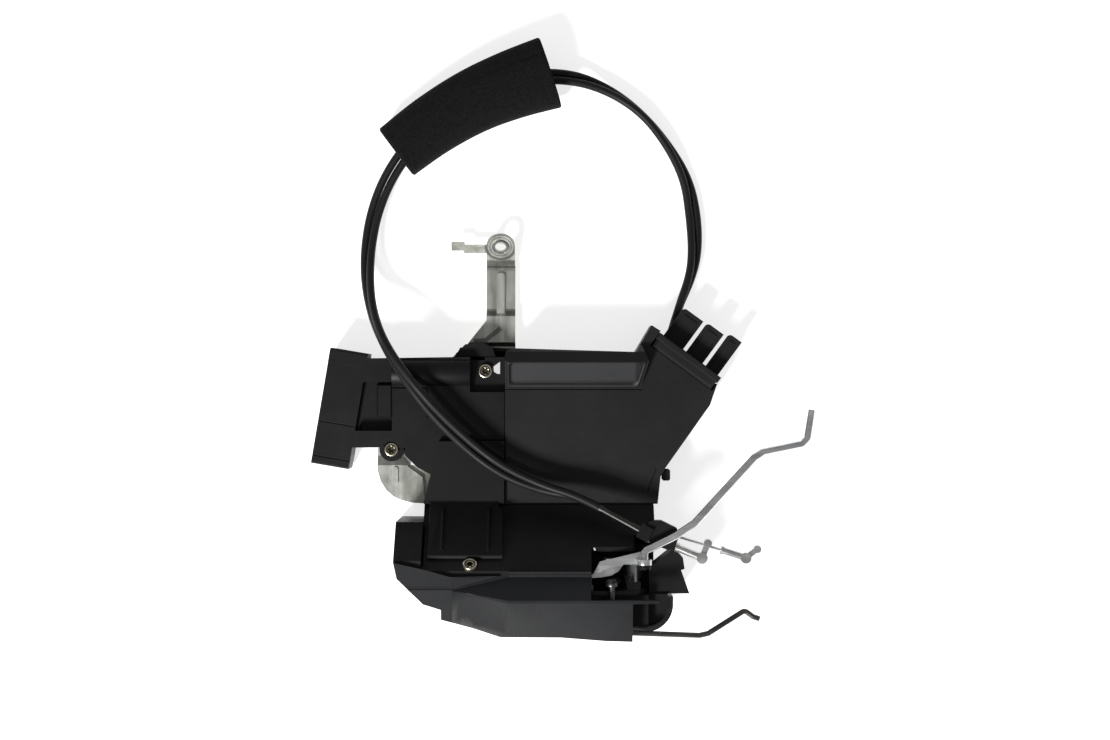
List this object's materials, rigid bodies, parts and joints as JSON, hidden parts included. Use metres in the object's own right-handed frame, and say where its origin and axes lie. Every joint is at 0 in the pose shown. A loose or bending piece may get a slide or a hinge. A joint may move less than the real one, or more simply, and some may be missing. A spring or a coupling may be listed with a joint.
{
  "type": "door latch actuator",
  "caption": "Vehicle door latch actuator: shut-face latch with turning claw and pawl, motor-driven lock module, rods, connector shroud, steel bracket and a looped pair of cables.",
  "frame": {"origin": "middle of the rigid pieces' footprint on the surface that the latch lies on", "axes": "+Z towards the door's inner panel (up in the pictured pose), -Y out of the shut face with the striker slot, +X along the module towards the rods, up in the car"},
  "size_m": [0.2804, 0.3282, 0.07],
  "materials": {
    "black_plastic": "fine moulded grain, nearly matt",
    "outlet_plastic": "matt, slightly rougher than the covers",
    "shield_plastic": "dark grey, softer plastic with a faint sheen",
    "steel_plate": "black-passivated sheet steel",
    "zinc_steel": "bright zinc-plated steel, faintly streaked",
    "dark_steel": "dark phosphated steel",
    "claw_steel": "hardened steel",
    "screw_steel": "yellowish zinc-plated steel",
    "gear_plastic": "natural acetal",
    "worm_brass": "turned brass",
    "motor_steel": "bright motor can",
    "tin": "tinned brass blades",
    "cable_jacket": "glossy black cable jacket",
    "foam": "black open-cell foam, matt",
    "rubber_black": "black rubber",
    "lever_plastic": "glass-filled nylon"
  },
  "bodies": {
    "latch": {"back_housing": "black_plastic", "main_cover": "black_plastic", "connector_housing": "black_plastic", "connector_terminals": "tin", "linkage_cover": "black_plastic", "cable_outlet_cap": "outlet_plastic", "motor": "motor_steel", "lever_pivots": "zinc_steel", "contact_plate": "tin", "position_switches": "black_plastic", "mount_bracket": "zinc_steel", "screws": "screw_steel", "face_plate": "steel_plate", "latch_casing": "black_plastic", "bump_stop": "rubber_black", "back_plate": "steel_plate", "claw_pin": "zinc_steel", "pawl_pin": "zinc_steel", "claw_spring": "dark_steel", "pawl_spring": "dark_steel", "water_shield": "shield_plastic", "leg_housing": "black_plastic", "outside_lever_pin": "zinc_steel", "handle_cable": "cable_jacket", "lock_cable": "cable_jacket", "foam_sleeve": "foam", "cable_ferrules": "dark_steel", "cable_clip": "black_plastic"},
    "claw_body": {"claw": "claw_steel"},
    "pawl_body": {"pawl": "claw_steel"},
    "outside_lever_body": {"outside_lever": "zinc_steel", "outside_rod_clip": "black_plastic"},
    "outside_rod_body": {"outside_rod": "zinc_steel"},
    "key_lever_body": {"key_lever": "dark_steel", "key_rod_clip": "black_plastic"},
    "key_rod_body": {"key_rod": "dark_steel"},
    "inside_lever_body": {"inside_lever": "lever_plastic"},
    "handle_wire_body": {"handle_wire_end": "zinc_steel"},
    "worm_wheel_body": {"worm_wheel": "gear_plastic"},
    "worm_body": {"motor_worm": "worm_brass"},
    "lock_lever_body": {"lock_lever": "lever_plastic"},
    "lock_wire_body": {"lock_wire_end": "zinc_steel"}
  },
  "joints": [
    {"name": "claw_turn", "type": "hinge", "parent": "latch", "child": "claw_body", "pos_m": [-0.0103, -0.10069, 0.029], "axis": [0, -1, 0], "range_deg": [0, 65], "stiffness_Nm_per_rad": 0.04, "springref_deg": -34.38},
    {"name": "pawl_drop", "type": "hinge", "parent": "latch", "child": "pawl_body", "pos_m": [0.0267, -0.10069, 0.045], "axis": [0, -1, 0], "range_deg": [0, 12]},
    {"name": "outside_lever_turn", "type": "hinge", "parent": "latch", "child": "outside_lever_body", "pos_m": [0.0387, -0.07369, 0.038], "axis": [0, 1, 0], "range_deg": [0, 15], "stiffness_Nm_per_rad": 0.12, "springref_deg": -20.05},
    {"name": "outside_rod_swing", "type": "hinge", "parent": "outside_lever_body", "child": "outside_rod_body", "pos_m": [0.0443, -0.07069, 0.0625], "axis": [0, 1, 0], "range_deg": [-15, 0]},
    {"name": "key_lever_turn", "type": "hinge", "parent": "latch", "child": "key_lever_body", "pos_m": [0.0267, -0.08369, 0.045], "axis": [0, 1, 0], "range_deg": [-12, 12]},
    {"name": "key_rod_swing", "type": "hinge", "parent": "key_lever_body", "child": "key_rod_body", "pos_m": [0.0267, -0.08369, 0.0623], "axis": [0, 1, 0], "range_deg": [-12, 12]},
    {"name": "inside_lever_turn", "type": "hinge", "parent": "latch", "child": "inside_lever_body", "pos_m": [0.0207, 0.01831, 0.012], "axis": [0, 0, 1], "range_deg": [0, 24]},
    {"name": "handle_wire_pull", "type": "slide", "parent": "latch", "child": "handle_wire_body", "axis": [0.9212, -0.3891, 0], "range_m": [0, 0.0094]},
    {"name": "wheel_turn", "type": "hinge", "parent": "latch", "child": "worm_wheel_body", "pos_m": [-0.0568, 0.01561, 0.012], "axis": [0, 0, 1], "range_deg": [-40, 40]},
    {"name": "worm_spin", "type": "hinge", "parent": "latch", "child": "worm_body", "pos_m": [-0.0568, 0.03301, 0.015], "axis": [1, 0, 0], "range_deg": [-1125, 1125]},
    {"name": "lock_lever_turn", "type": "hinge", "parent": "latch", "child": "lock_lever_body", "pos_m": [-0.0263, 0.00631, 0.019], "axis": [0, 0, 1], "range_deg": [-14.5, 14.5]},
    {"name": "lock_wire_pull", "type": "slide", "parent": "latch", "child": "lock_wire_body", "axis": [0.9533, -0.3021, 0], "range_m": [-0.0041, 0.0041]}
  ],
  "couplings": [
    {"joint": "outside_rod_swing", "follows": "outside_lever_turn", "ratio": -1},
    {"joint": "key_rod_swing", "follows": "key_lever_turn", "ratio": -1},
    {"joint": "handle_wire_pull", "follows": "inside_lever_turn", "m_per_rad": 0.022},
    {"joint": "worm_spin", "follows": "wheel_turn", "ratio": 28},
    {"joint": "lock_lever_turn", "follows": "wheel_turn", "ratio": -0.36},
    {"joint": "lock_wire_pull", "follows": "wheel_turn", "m_per_rad": 0.00576}
  ]
}
